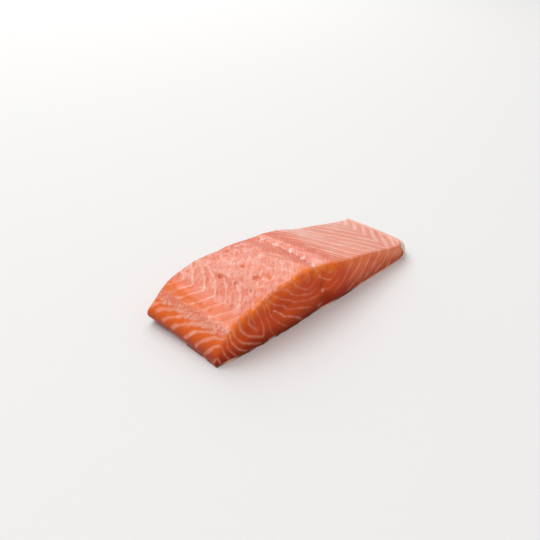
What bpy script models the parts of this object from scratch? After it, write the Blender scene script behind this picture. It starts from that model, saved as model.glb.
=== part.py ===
"""A thick piece of raw salmon fillet, lying on its skin.

X runs from the thick back end to the thin belly end, Y from the near cut face to the far one,
and Z up. The origin is in the middle of the underside of the whole piece. Metres.
"""

import bmesh
import bpy
import numpy as np
from mathutils import Vector

MM = 0.001

# The driving dimensions: the whole piece, then the thickness of its skin
LENGTH = 192 * MM
WIDTH = 63.5 * MM
HEIGHT = 32.5 * MM
SKIN = 1.0 * MM
SKIN_RIM = 2.0 * MM
GAP = 0.3 * MM

# Heights of the top along each cut face, as (share of LENGTH, share of HEIGHT)
NEAR_TOP = [
    (0.02, 0.46), (0.04, 0.56), (0.085, 0.72), (0.138, 0.78), (0.18, 0.875), (0.222, 0.935),
    (0.273, 0.95), (0.327, 1.0), (0.374, 0.995), (0.424, 0.915), (0.494, 0.865), (0.588, 0.735),
    (0.686, 0.64), (0.795, 0.48), (0.9, 0.37), (0.97, 0.35),
]
FAR_TOP = [
    (0.02, 0.47), (0.09, 0.74), (0.16, 0.855), (0.234, 0.905), (0.31, 0.895), (0.422, 0.835),
    (0.473, 0.845), (0.563, 0.765), (0.688, 0.52), (0.8, 0.415), (0.97, 0.18),
]
CROWN = 0.8 * MM
SMOOTHING = 0.018 * LENGTH

# The plan of the cut faces, as (share of LENGTH, how far the face stands in from WIDTH)
NEAR_CUT = [
    (0.0, 2.7 * MM), (0.1, 0.6 * MM), (0.29, 0.0), (0.42, 1.4 * MM), (0.5, 0.3 * MM),
    (0.75, 1.8 * MM), (1.0, 3.0 * MM),
]
FAR_CUT = [
    (0.0, 1.4 * MM), (0.2, 1.6 * MM), (0.27, 2.6 * MM), (0.35, 0.4 * MM), (0.57, 2.0 * MM),
    (0.71, 0.0), (0.82, 2.2 * MM), (0.97, 0.3 * MM),
]

# The back end slopes up to the seam, and the belly end is a bow that leans back at its top
BACK_SKEW = 3.6 * MM
BACK_LEAN = 7.3 * MM
BACK_BULGE = (2.7 * MM, 8.0 * MM)
BELLY_SKEW = 12.0 * MM
BELLY_CORNER = 7.0 * MM
CORNER_SHARE = 0.12
BOW_HEIGHT = 0.33
BOW_OUT = 0.42
BOW_LEAN = 0.13
EDGE_SHARE = 0.1

# The relief of the top: the seam of the back, the line of the pin bones, and the flakes
SEAM_X = 7.8 * MM
SEAM_RISE = 0.35 * MM
SEAM_WIDTH = 1.8 * MM
FASCIA_X = 34.5 * MM
FASCIA_RISE = 0.35 * MM
PIN_LINE = [(0.0, 78 * MM), (0.1, 80.5 * MM), (0.27, 83.7 * MM), (0.6, 85.5 * MM), (1.0, 87 * MM)]
PIN_DEPTH = 0.45 * MM
PIN_WIDTH = 2.2 * MM
FLAKE_PITCH = 10.6 * MM
FLAKE_SLOPE = 2.05
FLAKE_DEPTH = 0.25 * MM
FLAKES_FROM = 105 * MM
CHEVRON_X = 154.5 * MM
CHEVRON_PITCH = 8.4 * MM
# Each pit as (x, y from the near cut, radius, depth)
PITS = [
    (45.5 * MM, 17.7 * MM, 2.0 * MM, 1.5 * MM),
    (50.6 * MM, 13.8 * MM, 3.2 * MM, 0.8 * MM),
    (49.2 * MM, 32.9 * MM, 2.0 * MM, 1.1 * MM),
    (33.5 * MM, 36.3 * MM, 1.8 * MM, 0.9 * MM),
    (34.7 * MM, 23.0 * MM, 1.8 * MM, 0.9 * MM),
    (34.7 * MM, 11.9 * MM, 1.6 * MM, 0.8 * MM),
]

# How finely each solid is divided: along, across and up
FLESH_DIVISIONS = (96, 30, 8)
SKIN_FLAT_STEPS = 20
SKIN_CLIMB_STEPS = 8
SKIN_CLIMB = 0.93
SKIN_PROUD = 0.004


def eased(points, at):
    """The curve through the points, with its corners smoothed."""
    share, value = np.transpose(points)
    nearby = [np.interp(at + step, share, value) for step in np.linspace(-1, 1, 9) * SMOOTHING / LENGTH]
    return np.mean(nearby, axis=0)


def bump(distance, width):
    """1 on a line, falling smoothly to nothing by about twice the width."""
    return np.exp(-((distance / width) ** 2))


def flake_field(x, y):
    """A number that grows by 1 from one flake to the next: nested V shapes on the belly."""
    left_arm = (x - CHEVRON_X + y / FLAKE_SLOPE) / FLAKE_PITCH
    right_arm = (y - x + CHEVRON_X) / CHEVRON_PITCH
    return np.minimum(left_arm, right_arm)


def relief(x, y):
    """How far the top rises or sinks from its smooth form."""
    seam = SEAM_RISE * (bump(x - SEAM_X, SEAM_WIDTH) - bump(x - SEAM_X - 2 * SEAM_WIDTH, SEAM_WIDTH))
    fascia = FASCIA_RISE * bump(x - FASCIA_X, SEAM_WIDTH)
    share, line = np.transpose(PIN_LINE)
    pin = -PIN_DEPTH * bump(x - np.interp(y / WIDTH, share, line), PIN_WIDTH)
    on_belly = np.clip((x - FLAKES_FROM) / FLAKE_PITCH, 0, 1)
    flakes = FLAKE_DEPTH * on_belly * np.cos(2 * np.pi * flake_field(x, y))
    height = seam + fascia + pin + flakes
    for pit_x, pit_y, radius, depth in PITS:
        height = height - depth * bump(np.hypot(x - pit_x, y - pit_y), radius)
    return height


def top_height(x, across):
    """The height of the top at a distance along and a share across, without its relief."""
    near, far = eased(NEAR_TOP, x / LENGTH), eased(FAR_TOP, x / LENGTH)
    return HEIGHT * (near + (far - near) * across) + CROWN * 4 * across * (1 - across)


def back_x(across, up):
    """The back end's surface: how far along it lies."""
    bulge = BACK_BULGE[0] + (BACK_BULGE[1] - BACK_BULGE[0]) * across
    return BACK_SKEW * across + BACK_LEAN * up - bulge * np.sin(np.pi * up)


def belly_x(across, up):
    """The belly end's surface: a bow that stands out most a third of the way up."""
    corner = BELLY_CORNER * np.clip(1 - across / CORNER_SHARE, 0, 1) ** 2
    foot = LENGTH - BELLY_SKEW * (1 - across) - corner - BOW_OUT * 6 * MM
    end_height = top_height(foot, across)
    rising = 1 - (1 - np.clip(up / BOW_HEIGHT, 0, 1)) ** 2
    leaning = np.clip((up - BOW_HEIGHT) / (1 - BOW_HEIGHT), 0, 1)
    return foot + end_height * (BOW_OUT * rising - (BOW_OUT + BOW_LEAN) * leaning**1.4)


def place(along, across, up):
    """A point of the flesh from its shares along, across and up, as an array of x, y, z."""
    start, end = back_x(across, up), belly_x(across, up)
    x = start + along * (end - start)
    near, far = eased(NEAR_CUT, x / LENGTH), WIDTH - eased(FAR_CUT, x / LENGTH)
    floor = SKIN + GAP
    z = floor + up * (top_height(x, across) - floor)
    return np.stack([x, near + across * (far - near), z], axis=-1)


def rounded(shares):
    """Moves points of a unit box so that, once placed, its upright and upper edges are round."""
    along, across, up = np.transpose(shares)
    middle = place(along, across, up)
    size = np.stack(
        [
            belly_x(across, up) - back_x(across, up),
            np.full_like(along, WIDTH),
            top_height(middle[:, 0], across) - SKIN - GAP,
        ],
        axis=-1,
    )
    box = shares * size
    radius = EDGE_SHARE * size[:, 2:]
    core = np.clip(box, radius, size - radius)
    core[:, 2] = np.minimum(box[:, 2], (size - radius)[:, 2])
    out = box - core
    reach = np.maximum(np.linalg.norm(out, axis=1, keepdims=True), 1e-9)
    return (core + out * radius / reach) / size


def block(divisions, open_bottom):
    """A unit box of quads: a grid, its rim drawn down in steps, and the bottom closed."""
    along, across, up = divisions
    shape = bmesh.new()
    bmesh.ops.create_grid(shape, x_segments=along, y_segments=across, size=0.5)
    for vertex in shape.verts:
        vertex.co += Vector((0.5, 0.5, 1.0))
    top = list(shape.faces)
    rim = [edge for edge in shape.edges if edge.is_boundary]
    for _ in range(up):
        drawn = bmesh.ops.extrude_edge_only(shape, edges=rim)["geom"]
        for vertex in (item for item in drawn if isinstance(item, bmesh.types.BMVert)):
            vertex.co.z -= 1.0 / up
        rim = [item for item in drawn if isinstance(item, bmesh.types.BMEdge) and item.is_boundary]
    if open_bottom:
        bmesh.ops.contextual_create(shape, geom=rim)
    else:
        copied = bmesh.ops.duplicate(shape, geom=top)["geom"]
        for vertex in (item for item in copied if isinstance(item, bmesh.types.BMVert)):
            vertex.co.z = 0.0
    bmesh.ops.remove_doubles(shape, verts=shape.verts, dist=1e-5)
    bmesh.ops.recalc_face_normals(shape, faces=shape.faces)
    return shape


def make_solid(name, shape, points, material):
    """Gives the shape its points and makes it an object."""
    for vertex, point in zip(shape.verts, points):
        vertex.co = Vector(point)
    bmesh.ops.triangulate(shape, faces=[face for face in shape.faces if len(face.verts) > 4])
    mesh = bpy.data.meshes.new(name)
    shape.to_mesh(mesh)
    shape.free()
    mesh.shade_smooth()
    mesh.set_sharp_from_angle(angle=np.radians(50))
    mesh.materials.append(material)
    made = bpy.data.objects.new(name, mesh)
    bpy.context.scene.collection.objects.link(made)
    return made


def finish(name, colour, roughness):
    """A plain material in the part's own colour."""
    material = bpy.data.materials.new(name)
    material.use_nodes = True
    shader = material.node_tree.nodes["Principled BSDF"]
    shader.inputs["Base Color"].default_value = (*colour, 1)
    shader.inputs["Roughness"].default_value = roughness
    shader.inputs["Metallic"].default_value = 0
    return material


def make_flesh():
    """The flesh: one solid block of muscle, with its seam, pits and flakes as relief."""
    shape = block(FLESH_DIVISIONS, open_bottom=True)
    shares = rounded(np.array([tuple(vertex.co) for vertex in shape.verts]))
    points = place(*np.transpose(shares))
    on_top = np.clip(shares[:, 2], 0, 1) ** 8
    points[:, 2] += on_top * relief(points[:, 0], points[:, 1])
    return make_solid("salmon_flesh", shape, points, finish("flesh", (0.78, 0.27, 0.14), 0.35))


def make_skin():
    """The skin: a thin sheet under the flesh that turns up round the belly end."""
    steps = SKIN_FLAT_STEPS + SKIN_CLIMB_STEPS
    flat_share = SKIN_FLAT_STEPS / steps
    shape = block((steps, FLESH_DIVISIONS[1], 1), open_bottom=False)
    shares = np.array([tuple(vertex.co) for vertex in shape.verts])
    path, across, inner = np.transpose(shares)

    def line(path):
        along = np.clip(path / flat_share, 0, 1)
        up = SKIN_CLIMB * np.clip((path - flat_share) / (1 - flat_share), 0, 1)
        return place(along, across * (1 + 2 * SKIN_PROUD) - SKIN_PROUD, up)

    step = 0.004
    points = line(path)
    run = line(np.minimum(path + step, 1)) - line(np.maximum(path - step, 0))
    outward = np.stack([run[:, 2], np.zeros(len(run)), -run[:, 0]], axis=-1)
    outward /= np.linalg.norm(outward, axis=1, keepdims=True)
    thickening = np.clip((path - flat_share) / (1 - flat_share), 0, 1)
    thickness = SKIN + (SKIN_RIM - SKIN) * np.sin(np.pi * thickening)
    points += outward * (GAP + (1 - inner) * thickness)[:, None]
    points[:, 2] = np.where(inner < 0.5, np.maximum(points[:, 2], 0), points[:, 2])
    return make_solid("salmon_skin", shape, points, finish("skin", (0.55, 0.56, 0.56), 0.3))


def centre_whole(solids):
    """Moves the meshes so that the whole stands on the origin."""
    corners = np.array([tuple(vertex.co) for solid in solids for vertex in solid.data.vertices])
    low, high = corners.min(axis=0), corners.max(axis=0)
    shift = Vector((-(low[0] + high[0]) / 2, -(low[1] + high[1]) / 2, -low[2]))
    for solid in solids:
        for vertex in solid.data.vertices:
            vertex.co += shift


for old in list(bpy.data.objects):
    bpy.data.objects.remove(old, do_unlink=True)
centre_whole([make_flesh(), make_skin()])
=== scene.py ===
"""The looks of a thick piece of raw salmon fillet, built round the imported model."""

from types import SimpleNamespace

import bmesh
import bpy
import numpy as np
from mathutils import Matrix, Vector, noise
from mathutils.bvhtree import BVHTree


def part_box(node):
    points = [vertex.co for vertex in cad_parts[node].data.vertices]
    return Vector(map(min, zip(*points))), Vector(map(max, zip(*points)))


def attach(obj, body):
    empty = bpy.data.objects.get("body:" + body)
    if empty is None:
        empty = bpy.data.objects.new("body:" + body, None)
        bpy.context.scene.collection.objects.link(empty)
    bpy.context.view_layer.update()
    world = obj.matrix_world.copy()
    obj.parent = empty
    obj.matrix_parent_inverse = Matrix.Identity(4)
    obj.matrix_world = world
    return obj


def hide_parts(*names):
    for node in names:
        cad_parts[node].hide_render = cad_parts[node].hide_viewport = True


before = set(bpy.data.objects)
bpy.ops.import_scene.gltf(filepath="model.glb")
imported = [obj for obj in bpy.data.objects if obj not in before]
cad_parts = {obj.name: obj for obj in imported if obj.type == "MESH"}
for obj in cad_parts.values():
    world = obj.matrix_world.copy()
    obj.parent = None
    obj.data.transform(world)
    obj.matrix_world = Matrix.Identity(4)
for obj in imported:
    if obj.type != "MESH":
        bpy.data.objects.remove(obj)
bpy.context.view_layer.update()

# The flesh: one thick slice of raw muscle, cut across the fish with a long knife. Its top is the
# inner side of the fillet, its two long faces are the knife's cuts, and it stays on its skin.
MM = 0.001
LENGTH = 192 * MM
WIDTH = 63.5 * MM
HEIGHT = 32.5 * MM
SKIN = 1.0 * MM
# The top's height along its near and its far edge, as shares of the length and of the height.
NEAR_TOP = [
    (0.02, 0.46), (0.04, 0.56), (0.085, 0.72), (0.138, 0.78), (0.18, 0.875), (0.222, 0.935),
    (0.273, 0.95), (0.327, 1.0), (0.374, 0.995), (0.424, 0.915), (0.494, 0.865), (0.588, 0.735),
    (0.686, 0.64), (0.795, 0.48), (0.9, 0.37), (0.97, 0.35),
]
FAR_TOP = [
    (0.02, 0.47), (0.09, 0.74), (0.16, 0.855), (0.234, 0.905), (0.31, 0.895), (0.422, 0.835),
    (0.473, 0.845), (0.563, 0.765), (0.688, 0.52), (0.8, 0.415), (0.97, 0.18),
]
# How far each cut face stands back from straight, along the length.
NEAR_CUT = [
    (0.0, 2.7 * MM), (0.1, 0.6 * MM), (0.29, 0.0), (0.42, 1.4 * MM), (0.5, 0.3 * MM),
    (0.75, 1.8 * MM), (1.0, 3.0 * MM),
]
FAR_CUT = [
    (0.0, 1.4 * MM), (0.2, 1.6 * MM), (0.27, 2.6 * MM), (0.35, 0.4 * MM), (0.57, 2.0 * MM),
    (0.71, 0.0), (0.82, 2.2 * MM), (0.97, 0.3 * MM),
]
# The top's crown, and how the two ends lean, bulge and bow.
CROWN = 0.8 * MM
SMOOTHING = 0.018
BACK_SKEW, BACK_LEAN = 3.6 * MM, 7.3 * MM
BACK_BULGE = (2.7 * MM, 8.0 * MM)
BELLY_SKEW, BELLY_CORNER, CORNER_SHARE = 12.0 * MM, 7.0 * MM, 0.12
BOW_HEIGHT, BOW_OUT, BOW_LEAN = 0.33, 0.42, 0.13
EDGE_SHARE = 0.1
# The relief of the top: the seam, the torn fascia, the row of pin bones, and the pits, each with
# its middle, its radius and its depth.
SEAM_X, SEAM_RISE, SEAM_WIDTH = 7.8 * MM, 0.35 * MM, 1.8 * MM
FASCIA_X, FASCIA_RISE = 34.5 * MM, 0.35 * MM
PIN_LINE = [(0.0, 78 * MM), (0.1, 80.5 * MM), (0.27, 83.7 * MM), (0.6, 85.5 * MM), (1.0, 87 * MM)]
PIN_DEPTH, PIN_WIDTH = 0.45 * MM, 2.2 * MM
PITS = [
    (45.5 * MM, 17.7 * MM, 2.0 * MM, 1.5 * MM),
    (50.6 * MM, 13.8 * MM, 3.2 * MM, 0.8 * MM),
    (49.2 * MM, 32.9 * MM, 2.0 * MM, 1.1 * MM),
    (33.5 * MM, 36.3 * MM, 1.8 * MM, 0.9 * MM),
    (34.7 * MM, 23.0 * MM, 1.8 * MM, 0.9 * MM),
    (34.7 * MM, 11.9 * MM, 1.6 * MM, 0.8 * MM),
]
STEPS_ALONG, STEPS_ACROSS, STEPS_UP = 368, 124, 52
RELIEF_FADE = 1.5 * MM


def smooth(value, low, high):
    """0 below low and 1 above high, with a soft change between them."""
    share = np.clip((value - low) / (high - low), 0, 1)
    return share * share * (3 - 2 * share)


def bump(distance, width):
    """1 on a line, falling smoothly to nothing by about twice the width."""
    return np.exp(-((distance / width) ** 2))


def ripple(points, size, seed=0.0):
    """Smooth noise between about -1 and 1 at each point, for features of this size."""
    shifted = points / size + seed
    return np.array([noise.noise(point) for point in shifted.tolist()]) * 1.6


def eased(points, at):
    """The curve through the points, with its corners smoothed."""
    share, value = np.transpose(points)
    nearby = [np.interp(at + step, share, value) for step in np.linspace(-1, 1, 9) * SMOOTHING]
    return np.mean(nearby, axis=0)


def top_height(x, across):
    """The height of the top at a distance along and a share across, without its relief."""
    near, far = eased(NEAR_TOP, x / LENGTH), eased(FAR_TOP, x / LENGTH)
    return HEIGHT * (near + (far - near) * across) + CROWN * 4 * across * (1 - across)


def back_x(across, up):
    """The back end's surface: how far along it lies."""
    bulge = BACK_BULGE[0] + (BACK_BULGE[1] - BACK_BULGE[0]) * across
    return BACK_SKEW * across + BACK_LEAN * up - bulge * np.sin(np.pi * up)


def belly_x(across, up):
    """The belly end's surface: a bow that stands out most a third of the way up."""
    corner = BELLY_CORNER * np.clip(1 - across / CORNER_SHARE, 0, 1) ** 2
    foot = LENGTH - BELLY_SKEW * (1 - across) - corner - BOW_OUT * 6 * MM
    end_height = top_height(foot, across)
    rising = 1 - (1 - np.clip(up / BOW_HEIGHT, 0, 1)) ** 2
    leaning = np.clip((up - BOW_HEIGHT) / (1 - BOW_HEIGHT), 0, 1)
    return foot + end_height * (BOW_OUT * rising - (BOW_OUT + BOW_LEAN) * leaning**1.4)


def place(along, across, up):
    """A point of the flesh from its shares along, across and up."""
    start, end = back_x(across, up), belly_x(across, up)
    x = start + along * (end - start)
    near, far = eased(NEAR_CUT, x / LENGTH), WIDTH - eased(FAR_CUT, x / LENGTH)
    z = SKIN + up * (top_height(x, across) - SKIN)
    return np.stack([x, near + across * (far - near), z], axis=-1)


def rounded(shares):
    """Moves points of a unit box so that, once placed, its upright and upper edges are round."""
    along, across, up = np.transpose(shares)
    x = place(along, across, up)[:, 0]
    length = belly_x(across, up) - back_x(across, up)
    size = np.stack([length, np.full_like(x, WIDTH), top_height(x, across) - SKIN], axis=-1)
    box = shares * size
    radius = EDGE_SHARE * size[:, 2:]
    core = np.clip(box, radius, size - radius)
    core[:, 2] = np.minimum(box[:, 2], (size - radius)[:, 2])
    out = box - core
    reach = np.maximum(np.linalg.norm(out, axis=1, keepdims=True), 1e-9)
    return (core + out * radius / reach) / size


def pin_x(y):
    """Where the row of pin bones crosses, at a distance from the near cut."""
    share, line = np.transpose(PIN_LINE)
    return np.interp(y / WIDTH, share, line)


def top_relief(x, y):
    """The seam, the torn fascia, the row of pin bones and the pits, as a rise of the top."""
    height = SEAM_RISE * (bump(x - SEAM_X, SEAM_WIDTH) - bump(x - SEAM_X - 2 * SEAM_WIDTH, SEAM_WIDTH))
    height = height + FASCIA_RISE * bump(x - FASCIA_X, SEAM_WIDTH)
    height = height - PIN_DEPTH * bump(x - pin_x(y), PIN_WIDTH)
    for pit_x, pit_y, radius, depth in PITS:
        height = height - depth * bump(np.hypot(x - pit_x, y - pit_y), radius)
    return height


# The fat between the flakes, drawn line by line: its strength, half its width and its points, in
# millimetres. On the near cut they run from the back end and up, on the back end from the near cut.
NEAR_FAT = [
    (0.6, 0.45, (0, 7), (1.2, 5), (2.2, 3), (3.2, 1)),
    (0.7, 0.45, (3.4, 14.8), (4, 11.5), (4.6, 8), (6, 4.5), (8.5, 1)),
    (0.65, 0.45, (6.6, 16.8), (7.2, 13.5), (7.8, 9.5), (9, 6.5), (11, 4), (13.5, 1)),
    (0.8, 0.5, (8.9, 17.5), (9.6, 14), (10.6, 11), (12.2, 8.3), (14.5, 5.7), (17.5, 3.2), (21, 0.8)),
    (0.75, 0.55, (11, 19.8), (11.8, 17), (12.5, 14.6), (14, 11.8), (16.2, 8.8), (20, 6.5), (25, 4),
     (31, 0.8)),
    (0.85, 0.7, (15.4, 22.3), (15.8, 19), (16.8, 16), (19, 13), (21.5, 11), (25, 8.8), (29, 6.6),
     (33, 4.8)),
    (0.5, 0.8, (21.7, 23.5), (21.6, 19.3), (23.2, 17), (25, 14.5), (27, 12.8), (28.3, 11)),
    (0.3, 0.5, (24.5, 21.5), (25.5, 18.5), (26.3, 16)),
    (0.55, 0.5, (27.3, 25.4), (28.4, 22), (30, 19), (31.3, 16), (32.3, 13), (33, 9.5), (33.4, 4.8)),
    (0.45, 0.4, (31.8, 26.5), (33.2, 23.4), (34, 19.6), (36.2, 14.1), (38.5, 8.3), (39.7, 5.1),
     (41.3, 1.5)),
    (0.5, 0.45, (34.5, 27), (35.3, 23.4), (37.5, 20.9), (38.1, 17.3), (39.7, 14.8), (42.6, 10.9),
     (44.9, 8.3), (48, 5.6), (52, 2.6)),
    (0.6, 0.5, (35.3, 27.9), (37.8, 25.3), (41.3, 22.1), (44.9, 19.9), (48, 18.3), (49.5, 17),
     (51.3, 14.8), (53.8, 13.5), (57.3, 12.1), (60.9, 11.4), (62.6, 10), (66.2, 8.6), (69.7, 7.2),
     (73.5, 5.6)),
    (0.75, 0.6, (43.6, 16), (45.5, 14.4), (47.8, 12.5), (50.3, 10.4), (53.1, 9.3), (55.6, 7.9),
     (58, 6.5), (60.2, 5.1), (63.3, 3), (65, 1.5)),
    (0.55, 0.45, (38, 29.2), (40.7, 27.9), (43.3, 26.3), (45.5, 24.4), (48.5, 22.4), (51.3, 21),
     (53.5, 19.7), (55.6, 18), (59.1, 16.4), (62.6, 15.1), (65.8, 13.5), (69.7, 12.1), (72.5, 11.6),
     (76.7, 10.9), (80.6, 10.9)),
    (0.6, 0.5, (47, 29.8), (49.5, 28.3), (52, 26.6), (53.5, 24.8), (57.3, 21.7), (60.2, 19.9),
     (64.7, 18.5), (69, 16.4), (71.8, 15.5), (75, 15.8), (77.5, 17)),
    (0.45, 0.5, (56.3, 30.5), (58.4, 27.3), (60.9, 25.2), (63.3, 23.4), (66.2, 21.7), (69.3, 19.7),
     (72.2, 19.5), (74.6, 20.6), (75.3, 22.4)),
    (0.3, 0.5, (69.3, 30.5), (70.4, 28.4), (71.4, 25.9), (70.6, 24.4), (68.5, 24.9)),
    (0.55, 0.5, (77.8, 29.8), (79.2, 27.3), (80.3, 25.2), (81.3, 23.6), (81.8, 22.2)),
    (0.55, 0.55, (82.7, 22.4), (85.5, 20.6), (88, 18.8), (90.8, 17.6), (92.6, 18.1), (94.4, 19.9),
     (95.5, 22)),
    (0.3, 0.5, (85.2, 26.9), (87.3, 25.2), (89.4, 23.4), (91.5, 22.8), (93, 24)),
    (0.35, 0.6, (86.5, 13), (90, 12), (93.7, 12.8), (96, 14.2), (99, 17)),
    (0.5, 0.55, (109.6, 18), (107.2, 15.1), (104.1, 12.1), (100.5, 9.5), (97.9, 8.4), (95.8, 7.3)),
    (0.5, 0.5, (120, 19), (118.8, 16.5), (116.9, 13.9), (115, 11.5), (112, 9), (109.2, 6)),
    (0.5, 0.5, (130.5, 15), (129.1, 12.4), (126.7, 9.6), (124.2, 6.6), (121.5, 3.5)),
    (0.5, 0.5, (143.9, 13.5), (141.9, 11.2), (139.5, 9), (137, 6.6), (134, 3.5)),
    (0.5, 0.5, (156, 14), (154.8, 12), (153, 9.5), (151, 7.2), (148, 3)),
    (0.45, 0.5, (164.5, 12), (162.6, 9.2), (160.8, 6.6), (158.5, 2.5)),
    (0.4, 0.45, (169, 10), (167.8, 7), (165.8, 3)),
    (0.35, 0.45, (172.3, 7), (170.8, 3)),
]
BACK_FAT = [
    (0.6, 0.5, (0, 6.4), (2, 5.5), (4.1, 3.9), (6.2, 1)),
    (0.7, 0.55, (0.8, 12.1), (3.3, 11.7), (5.7, 10.5), (7.8, 8.4), (9.8, 6.4), (11.9, 4.3)),
    (0.8, 0.6, (2.5, 15.8), (6.2, 14.4), (9.4, 13.1), (13.1, 11.3), (15.6, 9.6), (17.6, 7.6),
     (19.3, 5.5)),
    (0.9, 0.6, (9.4, 15.8), (12.3, 15.2), (16.4, 13.9), (20.5, 12.5), (23.8, 10.5), (26.3, 8.4),
     (27.9, 6.4)),
    (0.9, 0.65, (11.9, 18), (16.4, 16.6), (20.5, 15.4), (24.6, 14.2), (28.7, 13.3), (32, 11.7),
     (34.9, 10), (38.2, 8)),
    (0.8, 0.6, (25, 16.5), (28.7, 15.8), (32.8, 15.2), (36.1, 14.4), (39, 12.9), (41.8, 11.7),
     (45.1, 10.5), (47.2, 9.2)),
    (0.75, 0.6, (35.3, 16.2), (40.2, 15.6), (44.3, 14.8), (48.4, 13.5), (51.7, 12.5), (54.6, 10.9)),
    (0.7, 0.6, (48.4, 15.8), (53.3, 15), (56.6, 13.7), (59.5, 12.1), (60.7, 11.3)),
]
# On the top they run from the back end and from the near cut: bent flakes on both sides of the
# seam, then the slanting torn ends of the loin's flakes.
TOP_FAT = [
    (0.7, 0.5, (0, 54.5), (3, 52.5), (5, 49.5), (6.5, 46)),
    (0.7, 0.5, (0, 47), (2, 45), (4, 42), (5.5, 39), (6.2, 36)),
    (0.7, 0.5, (0, 36), (2.8, 34), (4.4, 31), (6, 27)),
    (0.7, 0.5, (0, 28), (2, 25.5), (4, 22.5), (5.6, 19.5), (7, 15)),
    (0.7, 0.5, (0, 19), (2, 16.5), (4, 14), (5.5, 10), (7, 7), (9, 2)),
    (0.5, 0.5, (4, 12), (4.5, 8), (5, 5), (6, 2)),
    (0.6, 0.45, (13, 61), (14, 58), (16, 55.5), (19, 53.5), (21, 54), (22.5, 56.5), (24.5, 60)),
    (0.8, 0.5, (9.5, 58), (10.5, 54), (12.5, 51), (15, 48.5), (17.5, 46), (20, 45), (22.5, 47.5),
     (25, 50.3), (27.5, 54), (30, 57), (32, 60)),
    (0.8, 0.5, (9.7, 48.5), (10.6, 45), (12.7, 42), (15.5, 39.3), (18, 36.5), (20, 34.6), (22, 37),
     (25, 40.3), (28, 43.7), (30.5, 48.3), (33, 52.5), (34.5, 55.5)),
    (0.8, 0.5, (8.7, 41), (9.6, 37.2), (11.5, 34), (14, 31.2), (17, 28.5), (20, 26.5), (23, 29),
     (26, 32), (29, 35.5), (31.5, 40), (33.5, 45)),
    (0.75, 0.5, (9.5, 27.3), (11.5, 25), (14, 22.3), (17, 19.8), (20, 17.8), (22.5, 19.3), (25, 22),
     (28, 25), (31, 28.5), (33.3, 33)),
    (0.75, 0.5, (9.4, 20.5), (10.6, 17.5), (12.5, 15), (15.5, 12), (19, 9), (22, 9), (25, 11.5),
     (28, 14.5), (31, 17.5), (33.5, 22)),
    (0.75, 0.5, (9.6, 12), (11.5, 8.7), (14, 6), (17, 3.5), (20, 1)),
    (0.5, 0.45, (26, 1), (28.5, 4.2), (31, 8), (33.5, 12), (35, 15)),
    (0.5, 0.5, (40, 45.3), (43, 48), (46, 50.5), (49.5, 53.5), (53, 56)),
    (0.55, 0.5, (47.5, 41.5), (51, 44), (55, 47.5), (59, 51), (63, 55), (66, 58)),
    (0.4, 0.5, (40.5, 36), (43, 38), (46, 40.5)),
    (0.5, 0.5, (48, 30.5), (52, 33), (56, 36.5), (60, 39), (64, 42), (67, 45)),
    (0.4, 0.5, (43, 22), (47, 25.5), (51, 28), (56, 31)),
    (0.4, 0.5, (52, 25), (57, 28.6), (62, 33), (66, 37)),
    (0.6, 0.5, (40, 13), (43, 15.3), (47, 17.6), (50, 20), (54, 23)),
    (0.4, 0.5, (50, 10), (54, 13), (59, 17), (63, 20.5), (68, 25)),
    (0.5, 0.6, (39, 1), (42, 3.4), (47, 6), (50.5, 8)),
    (0.4, 0.5, (55, 3), (60, 6), (65, 9.5), (70, 14), (74, 18)),
    (0.35, 0.5, (61, 45), (66, 49), (70, 53), (73, 57)),
    (0.35, 0.5, (70, 40), (74, 43.5), (79, 48)),
    (0.35, 0.5, (86, 18), (90, 22), (94, 25.5)),
    (0.4, 0.6, (89, 42), (91.5, 44.7), (95, 47.7), (99, 50.5)),
    (0.35, 0.6, (90, 35), (95, 39), (100, 41.5)),
    (0.3, 0.5, (91, 12), (94.5, 15.5), (98, 18)),
]
# Marks on the top, along its slanting flakes, and marks on the near cut: each has its middle, its
# two half lengths and its strength. The first tufts carry fibres, and the rest are only painted.
SLANT = np.radians(45)
# Dark cracks and dents on the top, sunk into it: their darker paint is painted shade in them.
TOP_DARK = [
    (33.2, 36.0, 2.0, 0.9, 0.8), (34.7, 23.0, 2.2, 0.8, 0.8), (34.7, 11.9, 1.6, 0.6, 0.7),
    (33.6, 28.8, 1.6, 0.6, 0.6), (41.2, 46.5, 1.5, 0.6, 0.7), (46.0, 51.0, 2.2, 0.7, 0.6),
    (56.5, 38.5, 2.4, 0.9, 0.7), (60.0, 27.3, 1.2, 0.5, 0.7), (38.1, 31.0, 1.2, 0.5, 0.7),
    (44.2, 7.5, 1.2, 0.6, 0.5), (61.5, 41.0, 4.0, 0.6, 0.5), (80.0, 26.5, 2.2, 1.4, 0.5),
    (82.5, 33.0, 1.5, 1.2, 0.5), (88.5, 38.5, 2.2, 1.2, 0.5), (80.7, 12.3, 1.6, 1.2, 0.5),
    (86.3, 29.0, 1.0, 0.5, 0.7), (21.5, 46.0, 1.8, 0.5, 0.5), (21.8, 21.0, 1.6, 0.5, 0.5),
    (16.5, 8.0, 1.6, 0.5, 0.6), (41.3, 13.0, 1.2, 0.5, 0.5),
]
TOP_ORANGE = [
    (45.5, 17.7, 3.0, 1.2, 1.0), (50.6, 13.8, 3.8, 1.8, 0.8), (48.6, 32.6, 2.6, 1.8, 0.8),
    (48.0, 42.8, 2.2, 1.0, 0.6), (52.0, 47.0, 4.0, 2.2, 0.45), (56.0, 36.0, 5.0, 1.6, 0.4),
    (13.5, 56.5, 3.5, 2.6, 0.7), (12.0, 50.0, 4.0, 1.6, 0.6), (54.0, 24.5, 3.0, 1.6, 0.35),
    (88.0, 58.5, 4.0, 2.5, 0.5), (94.0, 43.0, 3.5, 2.0, 0.4), (79.0, 33.0, 5.0, 2.5, 0.35),
]
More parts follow.
